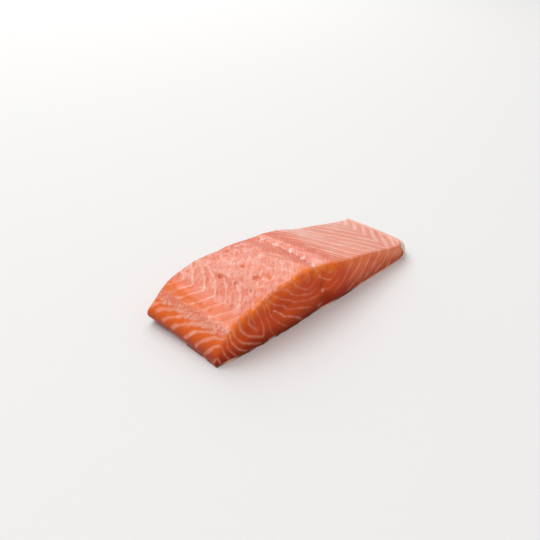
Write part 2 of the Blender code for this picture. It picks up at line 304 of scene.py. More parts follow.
TUFTS = [
    (79.7, 5.5, 4.0, 1.4, 1.0), (82.8, 16.5, 3.3, 2.0, 1.0), (85.0, 28.8, 4.6, 1.8, 1.0),
    (85.3, 41.6, 3.0, 2.1, 1.0), (86.3, 54.0, 3.0, 1.7, 1.0), (81.5, 11.0, 2.4, 0.8, 0.6),
    (84.2, 22.5, 2.8, 0.8, 0.6), (84.9, 35.5, 2.4, 0.7, 0.5), (86.0, 47.8, 2.4, 0.7, 0.5),
]
TUFTS_WITH_FIBRES = 5
NEAR_WHITE = [
    (84.3, 12.4, 1.4, 1.7, 0.7), (81.3, 23.8, 0.7, 1.6, 0.8), (52.1, 20.2, 1.1, 1.0, 0.5),
    (83.0, 3.6, 3.2, 1.8, 0.45), (92.3, 0.8, 1.6, 0.6, 0.5), (2.0, 14.3, 2.2, 1.0, 0.8),
    (33.0, 6.0, 1.2, 2.2, 0.3),
]
NEAR_DARK = [
    (82.8, 18.0, 1.8, 3.4, 0.8), (86.8, 7.8, 4.2, 2.4, 0.9), (71.0, 26.0, 8.0, 2.0, 0.2),
    (47.0, 18.0, 8.0, 2.0, 0.3), (52.0, 17.5, 6.0, 1.2, 0.3), (78.0, 16.5, 3.0, 4.0, 0.3),
]


# The near cut's lines begin this much before their first point, up over the edge, and are seen this
# far into the top. The seam's place follows, by the distance from the near cut, and the width of
# the orange band along that cut.
LINE_LEAD = 4.0
EDGE_REACH = 3.5
SEAM_PATH = [
    (0, 8.8), (5, 8.4), (12, 8.1), (20, 7.4), (25, 7.6), (35, 7.1), (42, 7.3), (50, 7.8), (62, 7.6),
]
NEAR_BAND = [
    (0, 2.0), (8, 3.0), (20, 4.8), (29.6, 5.4), (40.4, 3.2), (52.7, 5.0), (66.5, 6.8), (75, 7.2),
    (85, 5.4), (110, 3.4), (150, 1.6), (190, 0.8),
]
# The belly begins here, and its V shapes have this tip and spacing. The torn strands on the loin
# have a closer one. The far cut has the near one's lines, shifted and stretched.
BELLY_FROM = 99
V_TIP, V_SPACING = (155.1, 2.3), 10.6
STRAND_SPACING = 2.1
FAR_SHIFT, FAR_STRETCH = 5.0, 1.1


def curve(points):
    """A drawn line with its corners cut twice, so that it bends softly."""
    line = np.array(points, dtype=float)
    for _ in range(2):
        first, second = line[:-1] * 0.75 + line[1:] * 0.25, line[:-1] * 0.25 + line[1:] * 0.75
        inner = np.stack([first, second], axis=1).reshape(-1, 2)
        line = np.concatenate([line[:1], inner, line[-1:]])
    return line


def nearest_line(lines, u, v, spread=1.4, lead=0.0):
    """For each point the nearest drawn line: how far to which side of it, and that line's look."""
    at = np.stack([u, v], axis=-1)
    rows = np.arange(len(at))
    away, across = np.full(len(at), 99.0), np.full(len(at), 99.0)
    gain, width = np.zeros(len(at)), np.full(len(at), 0.5)
    for strength, half_width, *points in lines:
        line = curve(points)
        if lead:
            start = (line[0] - line[2]) / np.linalg.norm(line[0] - line[2])
            line = np.concatenate([[line[0] + lead * start], line])
        run = np.diff(line, axis=0)
        out = at[:, None] - line[:-1]
        share = np.clip((out * run).sum(axis=-1) / (run**2).sum(axis=-1), 0, 1)
        out -= share[..., None] * run
        distance = np.hypot(out[..., 0], out[..., 1])
        near = distance.argmin(axis=1)
        out, share, distance = out[rows, near], share[rows, near], distance[rows, near]
        side = np.sign(run[near, 0] * out[:, 1] - run[near, 1] * out[:, 0])
        along = (near + share) / len(run)
        closer = distance < away
        away = np.where(closer, distance, away)
        across = np.where(closer, distance * side, across)
        gain = np.where(closer, strength * (1 - 0.45 * along**3), gain)
        width = np.where(closer, spread * half_width * (0.9 + 0.5 * along**2), width)
    return {"across": across, "gain": gain, "width": width}


def marks(u, v, spots, turn=0.0):
    """Soft ovals, turned by an angle: how strongly they cover each point, from 0 to 1."""
    total = np.zeros_like(u)
    for middle_u, middle_v, long, short, strength in spots:
        du, dv = u - middle_u, v - middle_v
        along, over = du * np.cos(turn) + dv * np.sin(turn), dv * np.cos(turn) - du * np.sin(turn)
        total = total + strength * np.exp(-((along / long) ** 2) - (over / short) ** 2)
    return np.clip(total, 0, 1)


def stars(u, v, spots, turn):
    """As marks, but each with five uneven points, like a torn tuft pressed flat."""
    total = np.zeros_like(u)
    for number, (middle_u, middle_v, long, short, strength) in enumerate(spots):
        du, dv = u - middle_u, v - middle_v
        along, over = du * np.cos(turn) + dv * np.sin(turn), dv * np.cos(turn) - du * np.sin(turn)
        angle = np.arctan2(over / short, along / long)
        reach = 0.8 + 0.3 * np.cos(5 * angle + 1.7 * number) + 0.15 * np.cos(3 * angle + number)
        total = total + strength * np.exp(-(((along / long) ** 2 + (over / short) ** 2) / reach**2))
    return np.clip(total, 0, 1)


def belly_lines(x, y):
    """The belly's flakes: V shapes one inside the other, that point at the near cut."""
    past_x, past_y = x - V_TIP[0], y - V_TIP[1]
    left = (past_x + past_y / 2.05) / V_SPACING
    right = (past_y - past_x * (1 - 0.12 * smooth(y, 15, 60))) / 8.4
    field = np.minimum(left, right)
    rising = right < left
    across = (field - np.round(field)) * np.where(rising, 6.0, 9.5)
    half = np.abs(field * 2 - np.round(field * 2)) * np.where(rising, 3.0, 4.75)
    quarter = np.abs(field * 4 - np.round(field * 4)) * np.where(rising, 1.5, 2.4)
    dense = 1 - smooth(left, -1.6, -0.7)
    fine = bump(half, 0.7) * (0.15 + 0.4 * dense) + bump(quarter, 0.45) * 0.25 * dense
    return {
        "across": across,
        "gain": np.where(rising, 1.0, 0.95),
        "width": np.where(rising, 1.6, 1.35),
        "fine": fine * smooth(left, -5.8, -4.6) * np.where(rising, 0.5, 1.0),
    }


def grid(steps_a, steps_b):
    """The shares of a grid's points, and its quads as places in that list."""
    a, b = np.meshgrid(np.linspace(0, 1, steps_a + 1), np.linspace(0, 1, steps_b + 1), indexing="ij")
    index = np.arange(a.size).reshape(a.shape)
    quads = np.stack([index[:-1, :-1], index[1:, :-1], index[1:, 1:], index[:-1, 1:]], axis=-1)
    return a.ravel(), b.ravel(), quads.reshape(-1, 4)


def flesh_sides():
    """The flesh's five seen sides: a name, the unit box's points and the quads, facing out."""
    a, b, quads = grid(STEPS_ALONG, STEPS_ACROSS)
    yield "top", np.stack([a, b, np.ones_like(a)], axis=-1), quads
    a, b, quads = grid(STEPS_ALONG, STEPS_UP)
    yield "near", np.stack([a, np.zeros_like(a), b], axis=-1), quads
    yield "far", np.stack([a, np.ones_like(a), b], axis=-1), quads[:, ::-1]
    a, b, quads = grid(STEPS_ACROSS, STEPS_UP)
    yield "back", np.stack([np.zeros_like(a), a, b], axis=-1), quads[:, ::-1]
    yield "belly", np.stack([np.ones_like(a), a, b], axis=-1), quads


def edge_fade(shares, side):
    """1 over most of a side, falling to 0 at its rim, where it meets the next side."""
    flat = {"top": 2, "near": 1, "far": 1, "back": 0, "belly": 0}[side]
    size = np.array([LENGTH, WIDTH, HEIGHT * 0.7])
    reach = np.minimum(shares, 1 - shares) * size
    reach[:, flat] = 1
    return smooth(reach.min(axis=1), 0, RELIEF_FADE)


def unevenness(points):
    """The noises that the sides share: shifts in millimetres, and masks from 0 to 1."""
    x, y, z = np.transpose(points) / MM
    slanting = np.stack([0.3 * (x + y), y - x, z], axis=-1) * MM
    return SimpleNamespace(
        drift=ripple(points, 16 * MM, 9),
        wobble=0.3 * ripple(points, 7 * MM) + 0.15 * ripple(points, 2.2 * MM, 5),
        torn=1.2 * ripple(points, 4.2 * MM) + 0.35 * ripple(points, 1.7 * MM, 4),
        lumps=ripple(points, 1.7 * MM, 8),
        uneven=smooth(ripple(points, 4.5 * MM, 31), -0.3, 0.3),
        patched=0.45 + 0.55 * smooth(ripple(points, 7 * MM, 21), -0.25, 0.35),
        flakes=smooth(ripple(slanting, 3.6 * MM, 23), -0.1, 0.35),
        streaks=smooth(ripple(slanting, 2.6 * MM, 33), 0.0, 0.35),
    )


def top_lines(x, y, top, rough):
    """The top's lines: its own, the near cut's where they bend over the edge, and the belly's."""
    drawn, belly = nearest_line(TOP_FAT, x, y), belly_lines(x + rough.wobble, y)
    over_edge = nearest_line(NEAR_FAT, x, top + 0.8 * y, 1.2, LINE_LEAD)
    over_edge["gain"] = 0.6 * over_edge["gain"]
    at_edge = (y < EDGE_REACH) & (x < BELLY_FROM)
    for name, values in over_edge.items():
        drawn[name] = np.where(at_edge, values, drawn[name])
    drawn["fine"] = np.zeros_like(x)
    on_belly = x > BELLY_FROM
    lines = {name: np.where(on_belly, belly[name], drawn[name]) for name in drawn}
    ending = np.where(on_belly, smooth(x, 99, 108), 1 - smooth(x, 96, 99))
    strength = np.where(on_belly, 0.85 + 0.15 * rough.uneven, 0.7 + 0.3 * rough.uneven)
    lines["gain"] = lines["gain"] * ending * strength
    lines["width"] = lines["width"] * np.where(on_belly, 1.0, 0.6 + 0.5 * rough.uneven)
    return lines


def top_look(points, shares, rough):
    """The top: the torn loin, the seam, the row of pin bones, the belly, and the near edge's band."""
    x, y, _ = np.transpose(points) / MM
    before_belly, on_belly = x < BELLY_FROM, x > BELLY_FROM
    loin = smooth(x, 15, 22) * (1 - smooth(x, 64, 80))

    lines = top_lines(x, y, top_height(points[:, 0], shares[:, 1]) / MM, rough)
    away = np.abs(lines["across"] + rough.wobble * before_belly)
    gain = np.clip(lines["gain"] * (1 + 0.8 * loin), 0, 1)
    strand = ((y - x) / np.sqrt(2) + 1.5 * rough.wobble) / STRAND_SPACING
    thin = bump(np.abs(strand - np.round(strand)) * STRAND_SPACING, 0.5)
    patchy = smooth(ripple(points, 5 * MM, 6), -0.3, 0.5)
    thin = thin * patchy * smooth(x, 20, 40) * (1 - smooth(x, 96, 104)) * 0.4
    end_rim = smooth(shares[:, 0], 0.982, 0.992) * 0.8
    fine = np.maximum(np.maximum(lines["fine"], thin), end_rim)

    near_band = np.interp(x, *np.transpose(NEAR_BAND))
    edge = y + 0.5 * rough.drift + 0.8 * ripple(points, 3 * MM, 2) + 1.1 * ripple(points, 9 * MM, 15)
    edge = edge + 0.5 * ripple(points, 1.3 * MM, 17)
    band = 1 - smooth(edge, near_band - 2.2, near_band + 1.0)
    band = band * (1 - 0.6 * smooth(x, 110, 160)) * (1 - 0.45 * rough.streaks)
    # Painted light along the rounded near rim, so that the top's edge matches the lit upper edge of the
    # cut.
    painted_glow = (1 - smooth(y + 0.3 * rough.drift, 0.2, 0.7 * near_band)) * rough.patched
    painted_glow = painted_glow * (1 - 0.5 * smooth(x, 120, 170))
    far_side = smooth(y, 30, 60)
    # Partly the loin's paler flesh and partly painted sheen: the pale pink stands in for the light behind,
    # reflected off the wet top.
    pale = 0.35 + 0.65 * loin * (1 - 0.5 * far_side * smooth(x, 36, 50)) + 0.6 * smooth(x, 96, 118)
    pale = pale + 0.15 * rough.drift - 0.4 * loin * rough.flakes - 0.12 * on_belly

    seam = bump(x - np.interp(y, *np.transpose(SEAM_PATH)) - rough.wobble, 2.3)
    strip = seam * (0.3 + 0.7 * smooth(rough.lumps, -0.3, 0.3))
    scraps = smooth(ripple(points, 2.2 * MM, 12), -0.1, 0.6)
    fascia = 0.7 * bump(x - FASCIA_X / MM - 0.04 * y - rough.wobble, 1.4) * scraps
    tuft = smooth(stars(x + 1.5 * rough.wobble, y - 1.5 * rough.wobble, TUFTS, SLANT), 0.2, 0.7)
    # Painted shade in the sunk cracks and dents.
    dark = 0.6 * smooth(marks(x + rough.wobble, y - 2 * rough.wobble, TOP_DARK, SLANT), 0.25, 0.7)
    pit = marks(x + 1.5 * rough.wobble, y - 2 * rough.wobble, TOP_ORANGE, SLANT)
    grain = (0.3 + 0.7 * loin) * (1 - 0.85 * band) * (1 - 0.7 * pit)
    pit = np.maximum(pit, 0.55 * smooth(x, 8.5, 10) * (1 - smooth(x, 13, 20)))

    groove = -0.16 * bump(away, 1.6) * gain * before_belly
    ridge = 0.14 * (bump(away, 1.3) * gain + fine) * on_belly + 0.25 * thin
    rise = groove + ridge + 0.24 * (grain - 0.25) * rough.torn + 0.45 * seam * rough.lumps
    rise = rise - 0.28 * loin * rough.flakes
    rise = rise - 0.5 * dark * grain + 0.2 * tuft * (1 + 0.6 * rough.lumps)
    rise = rise - 0.55 * smooth(pit, 0.5, 0.8) * loin
    return {
        "away": away, "width": lines["width"], "gain": gain, "fine": fine,
        "pale": np.clip(pale, 0, 1), "band": band, "painted_glow": painted_glow,
        "deep_tone_and_shade": 0.3 * smooth(x, 70, 80) * (1 - smooth(x, 92, 118)),
        "grain": grain, "tissue": np.maximum(fascia, strip), "tuft": tuft, "pit": pit, "dark": dark,
        "wet": (0.6 + 0.4 * smooth(ripple(points, 6 * MM, 20), 0.0, 0.5)) * (1 - 0.7 * band),
        "white": np.maximum(smooth(x, 125, 150) * 0.8, 0.3 + 0.35 * loin * before_belly),
    }, rise


def cut_look(points, shares, rough, shift, stretch):
    """A long cut face, painted as glowing with light at its upper edge and darker with painted shade at its
    foot; the far one is shifted.
    """
    x, _, z = np.transpose(points) / MM
    depth = top_height(points[:, 0], shares[:, 1]) / MM - z
    lines = nearest_line(NEAR_FAT, x + shift, z * stretch, 1.15, LINE_LEAD)
    away = np.abs(lines["across"] + rough.wobble)
    gain = lines["gain"] * (0.6 + 0.4 * smooth(ripple(points, 5 * MM, 25), -0.3, 0.3))
    leaning = x + 1.3 * rough.wobble + rough.drift + shift + 0.45 * depth + 0.027 * depth**2
    leaning = (leaning - V_TIP[0]) / V_SPACING
    halfway = np.abs(leaning * 2 - np.round(leaning * 2)) * V_SPACING / 2
    fine = bump((leaning - np.round(leaning)) * V_SPACING, 1.3) * 0.7
    fine = fine + (0.2 + 0.3 * smooth(x, 158, 172)) * bump(halfway, 0.9)
    fine = fine * smooth(x, 104, 116) * (0.7 + 0.5 * rough.torn)

    # Painted light: the upper few millimetres of the cut are painted bright orange, as if light shone
    # through the thin edge.
    painted_glow = (1 - smooth(depth + 0.8 * rough.drift, 0.5, 9.5)) * rough.patched
    painted_glow = painted_glow * (1 - 0.3 * smooth(x, 120, 170)) * (1 - 0.4 * rough.streaks)
    # A deeper tone all over the cut, and painted shade that darkens it towards its foot.
    deep_tone_and_shade = np.clip(0.35 + 0.2 * rough.drift + 0.65 * (1 - smooth(z, 1, 10)), 0, 1)
    deep_tone_and_shade = deep_tone_and_shade * (1 - 0.6 * smooth(x, 95, 135))
    haze = bump(z - 4.5, 4) * smooth(x, 30, 50) * (1 - smooth(x, 74, 90)) * (0.6 + 0.4 * rough.drift)
    tuft = marks(x + shift + 2 * rough.wobble, z * stretch + rough.wobble, NEAR_WHITE)
    tuft = 0.55 * smooth(tuft, 0.15, 0.75) * (0.6 + 0.4 * smooth(rough.torn, -0.3, 0.3))
    near_top = 1 - smooth(depth, 3, 10)
    # Darker marks, and painted shade that darkens the foot of the cut.
    dark = np.clip(marks(x + shift, z * stretch, NEAR_DARK) + 1 - smooth(z, 1, 13), 0, 1)
    dark = dark * (1 - 0.4 * smooth(x, 100, 150)) * (1 - 0.7 * smooth(x, 125, 165) * near_top)
    # Painted light: paler just under the upper edge and towards the belly end.
    pale = 0.35 * (1 - smooth(depth + 1.2 * rough.torn, 0.5, 4)) + 0.2 * smooth(x, 90, 130)
    pale = pale + 0.9 * smooth(x, 140, 168) * near_top
    pale = pale + 0.4 * smooth(x, 115, 150) * (1 - smooth(depth, 0, 4))
    return {
        "away": away, "width": lines["width"], "gain": gain, "fine": fine, "pale": pale,
        "painted_glow": painted_glow, "deep_tone_and_shade": deep_tone_and_shade, "haze": np.maximum(haze, 0.5 * smooth(x, 110, 150)),
        "grain": 0.12, "tuft": tuft, "dark": dark,
    }, -0.08 * bump(away, 1.6) * gain + 0.03 * rough.torn


def back_look(points, rough):
    """The back end, painted paler up to its torn upper edge as light, and darker at its foot and under its
    far corner as shade.
    """
    _, y, z = np.transpose(points) / MM
    lines = nearest_line(BACK_FAT, y + rough.wobble, z, 1.6)
    away = np.abs(lines["across"] + rough.wobble)
    gain = lines["gain"] * (0.7 + 0.3 * rough.uneven)
    grain = 0.15 + 0.35 * smooth(z, 10, 16)
    # Painted shade: darker towards the foot and under the far lower corner.
    deep_tone_and_shade = 1.1 - smooth(z, 1.5, 8.5) + 0.5 * smooth(y, 35, 55) * (1 - smooth(z, 6, 9))
    return {
        "away": away, "width": lines["width"] * (0.65 + 0.45 * rough.uneven), "gain": gain,
        # Painted light: paler towards the torn upper edge.
        "pale": smooth(z, 12.5, 17) * 0.7 + smooth(z, 5, 12) * 0.1,
        "deep_tone_and_shade": np.clip(deep_tone_and_shade, 0, 1), "haze": bump(z - 7, 2.5) * (0.4 + 0.3 * rough.drift),
        "grain": grain, "pit": smooth(z, 6, 9) * (1 - smooth(z, 13, 17)) * 0.5,
        # Painted shade: darker towards the foot.
        "dark": (1 - smooth(z, 4, 14)) * (0.85 + 0.15 * smooth(y, 10, 50)),
        "wet": 0.2, "white": 0.5,
    }, 0.2 * bump(away, 1.6) * gain + 0.12 * grain * rough.torn


# All that a side can be painted with, and what it has where nothing is said: from the nearest line
# how far and how wide, in millimetres, and the rest from 0 to 1.
NO_PAINT = {
    "away": 9.0, "width": 0.5, "gain": 0.0, "fine": 0.0, "pale": 0.0, "band": 0.0, "painted_glow": 0.0,
    "deep_tone_and_shade": 0.0, "haze": 0.0, "grain": 0.0, "tissue": 0.0, "tuft": 0.0, "pit": 0.0, "dark": 0.0,
    "wet": 0.0, "white": 0.0,
}


def side_look(side, points, shares):
    """What the finish paints on one side, and the side's own fine relief."""
    rough = unevenness(points)
    if side == "top":
        look, rise = top_look(points, shares, rough)
    elif side == "near":
        look, rise = cut_look(points, shares, rough, 0.0, 1.0)
    elif side == "far":
        look, rise = cut_look(points, shares, rough, FAR_SHIFT, FAR_STRETCH)
    elif side == "back":
        look, rise = back_look(points, rough)
    else:
        look, rise = {"deep_tone_and_shade": 0.3}, 0.0
    everywhere = np.zeros(len(points))
    return {name: everywhere + look.get(name, none) for name, none in NO_PAINT.items()}, rise * MM


box_points, side_names, side_quads, counts = [], [], [], [0]
for side_name, side_points, quads in flesh_sides():
    box_points.append(side_points)
    side_names.append(side_name)
    side_quads.append(quads + counts[-1])
    counts.append(counts[-1] + len(side_points))
shares = np.concatenate(box_points)
keys = np.round(shares * 1e5).astype(int)
_, first_seen, welded = np.unique(keys, axis=0, return_index=True, return_inverse=True)
welded = welded.ravel()

surface = rounded(shares[first_seen])
points = place(*np.transpose(surface))
cad_flesh_low = np.array(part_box("salmon_flesh")[0])
PLACE = cad_flesh_low * [1, 1, 0] - points.min(axis=0) * [1, 1, 0]
points[:, 2] += np.clip(surface[:, 2], 0, 1) ** 8 * top_relief(points[:, 0], points[:, 1])

masks, swell = {}, np.zeros(len(points))
for side_name, start, end in zip(side_names, counts, counts[1:]):
    here = welded[start:end]
    found, rise = side_look(side_name, points[here], surface[here])
    swell[here] += edge_fade(shares[start:end], side_name) * rise
    for name, values in found.items():
        masks.setdefault(name, []).append(values)
masks = {name: np.concatenate(values) for name, values in masks.items()}

quads = np.concatenate(side_quads)
rim_a, rim_b = np.arange(STEPS_ALONG) / STEPS_ALONG, np.arange(STEPS_ACROSS) / STEPS_ACROSS
rim = np.concatenate([
    np.stack([rim_a, 0 * rim_a], axis=-1), np.stack([0 * rim_b + 1, rim_b], axis=-1),
    np.stack([1 - rim_a, 0 * rim_a + 1], axis=-1), np.stack([0 * rim_b, 1 - rim_b], axis=-1),
])
place_of = {tuple(key): number for number, key in enumerate(keys[first_seen].tolist())}
bottom = [place_of[(round(a * 1e5), round(b * 1e5), 0)] for a, b in rim.tolist()]

flesh_mesh = bpy.data.meshes.new("flesh")
flesh_mesh.from_pydata(
    (points + PLACE).tolist(), [], welded[quads].tolist() + [bottom[::-1]]
)
flesh_mesh.update()
normals = np.empty(len(points) * 3, np.float32)
flesh_mesh.vertices.foreach_get("normal", normals)
normals = normals.reshape(-1, 3)
swollen = points + PLACE + normals * swell[:, None]
flesh_mesh.vertices.foreach_set("co", swollen.astype(np.float32).ravel())
flesh_mesh.shade_smooth()


def paint(mesh, name, corners):
    """Stores a mask on a mesh, one value for each corner of each face."""
    mesh.attributes.new(name, "FLOAT", "CORNER").data.foreach_set("value", corners.astype(np.float32))


def shown(name, data):
    """A new object of the scene."""
    made = bpy.data.objects.new(name, data)
    bpy.context.scene.collection.objects.link(made)
    return made


for name, values in masks.items():
    paint(flesh_mesh, name, np.concatenate([values[quads.ravel()], np.zeros(len(bottom))]))
flesh_mesh.update()


def add(tree, kind, inputs=None, **settings):
    """A new node in a tree, with its settings and its sockets' values or links."""
    made = tree.nodes.new(kind)
    for name, value in settings.items():
        setattr(made, name, value)
    for name, value in (inputs or {}).items():
        if isinstance(value, bpy.types.NodeSocket):
            tree.links.new(value, made.inputs[name])
        else:
            made.inputs[name].default_value = value
    return made


def calc(tree, operation, first, second=0.0):
    """The result of one sum."""
    return add(tree, "ShaderNodeMath", {0: first, 1: second}, operation=operation).outputs[0]


def ramped(tree, value, low, high, to_low=0.0, to_high=1.0):
    """A value mapped softly from one range to another."""
    settings = {"Value": value, "From Min": low, "From Max": high, "To Min": to_low, "To Max": to_high}
    return add(tree, "ShaderNodeMapRange", settings, interpolation_type="SMOOTHSTEP").outputs[0]


def tinted(tree, share, first, second):
    """A mix of two colours, each a socket or three numbers."""
    made = add(tree, "ShaderNodeMix", data_type="RGBA")
    for socket, value in ((0, share), (6, first), (7, second)):
        if isinstance(value, bpy.types.NodeSocket):
            tree.links.new(value, made.inputs[socket])
        else:
            made.inputs[socket].default_value = value if socket == 0 else (*value, 1)
    return made.outputs[2]


def painted(tree, names):
    """The masks that are stored on the mesh under these names."""
    return {name: add(tree, "ShaderNodeAttribute", attribute_name=name).outputs["Fac"] for name in names}


def wet_grain():
    """The fine wet grain that all the raw flesh shares: a height, and a blotchy mask."""
    group = bpy.data.node_groups.new("Wet grain", "ShaderNodeTree")
    for name, start in (("Size", 1.0 * MM), ("Blotch Size", 8 * MM)):
        socket = group.interface.new_socket(name, in_out="INPUT", socket_type="NodeSocketFloat")
        socket.default_value = start
    for name in ("Height", "Blotch", "Glint", "Wrinkle"):
        group.interface.new_socket(name, in_out="OUTPUT", socket_type="NodeSocketFloat")
    given = group.nodes.new("NodeGroupInput")
    at = add(group, "ShaderNodeTexCoord").outputs["Object"]
    fine = calc(group, "DIVIDE", 1.0, given.outputs["Size"])
    broad = calc(group, "DIVIDE", 1.0, given.outputs["Blotch Size"])
    grain = add(group, "ShaderNodeTexNoise", {"Vector": at, "Scale": fine, "Detail": 3.0})
    cells = add(group, "ShaderNodeTexVoronoi", {"Vector": at, "Scale": calc(group, "MULTIPLY", fine, 0.8)})
    blotch = add(group, "ShaderNodeTexNoise", {"Vector": at, "Scale": broad, "Detail": 4.0})
    result = group.nodes.new("NodeGroupOutput")
    dimple = calc(group, "MULTIPLY", cells.outputs["Distance"], -0.5)
    group.links.new(calc(group, "ADD", grain.outputs[0], dimple), result.inputs["Height"])
    group.links.new(ramped(group, blotch.outputs[0], 0.35, 0.65), result.inputs["Blotch"])
    group.links.new(ramped(group, grain.outputs[0], 0.58, 0.72), result.inputs["Glint"])
    folded = add(group, "ShaderNodeTexNoise", {
        "Vector": at, "Scale": calc(group, "MULTIPLY", fine, 0.3), "Detail": 2.5, "Distortion": 0.9,
    })
    off_fold = calc(group, "ABSOLUTE", calc(group, "SUBTRACT", folded.outputs[0], 0.5))
    group.links.new(ramped(group, off_fold, 0.0, 0.06, 1.0, 0.0), result.inputs["Wrinkle"])
    return group


wet_grain_group = wet_grain()
MUSCLE = (0.78, 0.094, 0.008)
# Deeper muscle: a darker tone of the flesh, and painted shade at the feet of the sides.
MUSCLE_DEEP = (0.50, 0.026, 0.002)
# Darkest muscle: painted shade at the feet of the cuts and ends and in the top's sunk cracks, with a few
# darker marks on the cuts.
MUSCLE_DARK = (0.26, 0.018, 0.002)
# Pale pink: the paler flesh of the top, and the painted sheen and light on the top, the cuts and the ends.
PALE_PINK = (0.82, 0.272, 0.168)
ORANGE_BAND = (0.84, 0.210, 0.048)
PIT_ORANGE = (0.88, 0.190, 0.010)
# Painted light: the bright orange of light shining through the thin upper edge of the cuts.
PAINTED_GLOW = (0.96, 0.200, 0.014)
FAT = (0.90, 0.400, 0.275)
BRIGHT_FAT = (0.97, 0.530, 0.430)
HAZE = (0.78, 0.190, 0.060)
# Painted shade in the creases and hollows of the torn surface.
CREASE_SHADE = (0.66, 0.150, 0.085)
TISSUE = (0.80, 0.400, 0.330)
TUFT_WHITE = (1.0, 0.570, 0.500)


def wet_flesh(name):
    """A material with the flesh's shader, ready for its colour: the material, tree and shader."""
    material = bpy.data.materials.new(name)
    material.use_nodes = True
    tree = material.node_tree
    shader = tree.nodes["Principled BSDF"]
    shader.inputs["Metallic"].default_value = 0
    shader.inputs["IOR"].default_value = 1.4
    shader.inputs["Specular IOR Level"].default_value = 0.12
    shader.inputs["Subsurface Weight"].default_value = 0.3
    shader.inputs["Subsurface Radius"].default_value = (1.0, 0.35, 0.18)
    shader.inputs["Subsurface Scale"].default_value = 3.0 * MM
    shader.inputs["Coat Roughness"].default_value = 0.14
    return material, tree, shader


def emboss(tree, shader, height, strength, distance):
    """Lets a height that is too fine for the mesh show on the surface."""
    made = add(tree, "ShaderNodeBump", {"Height": height, "Strength": strength, "Distance": distance})
    tree.links.new(made.outputs[0], shader.inputs["Normal"])


def flesh_finish():
    """The flesh's colour: muscle with its pale and darker parts, painted sheen, light and shade, and the
    lines of fat.
    """
    material, tree, shader = wet_flesh("salmon flesh")
    mask = painted(tree, NO_PAINT)
    grain = add(tree, "ShaderNodeGroup", node_tree=wet_grain_group)
    blotch = grain.outputs["Blotch"]
    ragged = calc(tree, "MULTIPLY", calc(tree, "SUBTRACT", grain.outputs["Height"], 0.3), 0.45)
    in_widths = calc(tree, "DIVIDE", calc(tree, "ADD", mask["away"], ragged), mask["width"])
    on_line = calc(tree, "MULTIPLY", ramped(tree, in_widths, 0.25, 1.4, 1.0, 0.0), mask["gain"])
    halo = calc(tree, "MULTIPLY", ramped(tree, mask["away"], 0.3, 2.6, 0.25, 0.0), mask["gain"])
    colour = tinted(tree, mask["deep_tone_and_shade"], MUSCLE, MUSCLE_DEEP)
    # Painted sheen and light, over the paler flesh.
    colour = tinted(tree, mask["pale"], colour, PALE_PINK)
    colour = tinted(tree, mask["band"], colour, ORANGE_BAND)
    colour = tinted(tree, mask["painted_glow"], colour, PAINTED_GLOW)
    colour = tinted(tree, mask["pit"], colour, PIT_ORANGE)
    colour = tinted(tree, halo, colour, HAZE)
    colour = tinted(tree, calc(tree, "MULTIPLY", mask["haze"], 0.5), colour, HAZE)
    colour = tinted(tree, calc(tree, "MULTIPLY", blotch, 0.15), colour, MUSCLE_DEEP)
    # Painted shade: the feet of the sides and the sunk cracks, with the cuts' darker marks.
    colour = tinted(tree, calc(tree, "MULTIPLY", mask["dark"], 0.72), colour, MUSCLE_DARK)
    # Painted shade in the wrinkles' creases.
    wrinkle = calc(tree, "MULTIPLY", grain.outputs["Wrinkle"], mask["grain"])
    colour = tinted(tree, calc(tree, "MULTIPLY", wrinkle, 0.14), colour, CREASE_SHADE)
    white = calc(tree, "MAXIMUM", on_line, mask["fine"])
    white = calc(tree, "MULTIPLY", white, ramped(tree, blotch, 0.0, 1.0, 0.85, 0.6))
    colour = tinted(tree, white, colour, tinted(tree, mask["white"], FAT, BRIGHT_FAT))
    # Painted shade in the hollows of the fine grain.
    soft = calc(tree, "MULTIPLY", ramped(tree, grain.outputs["Height"], 0.1, 0.6, 0.18, 0.0), mask["grain"])
    colour = tinted(tree, soft, colour, CREASE_SHADE)
    # Painted highlights: pale flecks on the high points of the grain, as glints of light on the wet
    # surface.
    painted_glint = calc(tree, "MULTIPLY", grain.outputs["Glint"], calc(tree, "MULTIPLY", mask["grain"], 0.35))
    colour = tinted(tree, painted_glint, colour, FAT)
    colour = tinted(tree, ramped(tree, mask["pit"], 0.6, 0.9, 0.0, 0.8), colour, PIT_ORANGE)
    colour = tinted(tree, calc(tree, "MULTIPLY", mask["tissue"], 0.75), colour, TISSUE)
    colour = tinted(tree, mask["tuft"], colour, TUFT_WHITE)
    tree.links.new(colour, shader.inputs["Base Color"])
    tree.links.new(ramped(tree, grain.outputs["Height"], 0.1, 0.7, 0.30, 0.50), shader.inputs["Roughness"])
    tree.links.new(mask["wet"], shader.inputs["Coat Weight"])
    strength = calc(tree, "MULTIPLY", mask["grain"], 0.42)
    height = calc(tree, "SUBTRACT", grain.outputs["Height"], calc(tree, "MULTIPLY", wrinkle, 0.22))
    emboss(tree, shader, height, strength, 0.9 * MM)
    return material


flesh_mesh.materials.append(flesh_finish())
flesh = shown("flesh", flesh_mesh)
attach(flesh, "root")
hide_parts("salmon_flesh")

# The skin: it was left on when the fillet was cut. A thin tough sheet, silver under the belly and
# blue-grey towards the back, with small scales, that runs under the flesh and up round its end.
SKIN_STEPS_FLAT, SKIN_STEPS_CLIMB, SKIN_STEPS_ACROSS = 300, 26, 104
SKIN_CLIMB = 0.93
SKIN_RIM = 2.0 * MM
SKIN_PROUD = 0.004
SKIN_OVERLAP = 0.05 * MM
SKIN_RUN = 206 * MM
SCALE_LENGTH, SCALE_WIDTH, SCALE_RISE = 2.6 * MM, 2.2 * MM, 0.16 * MM
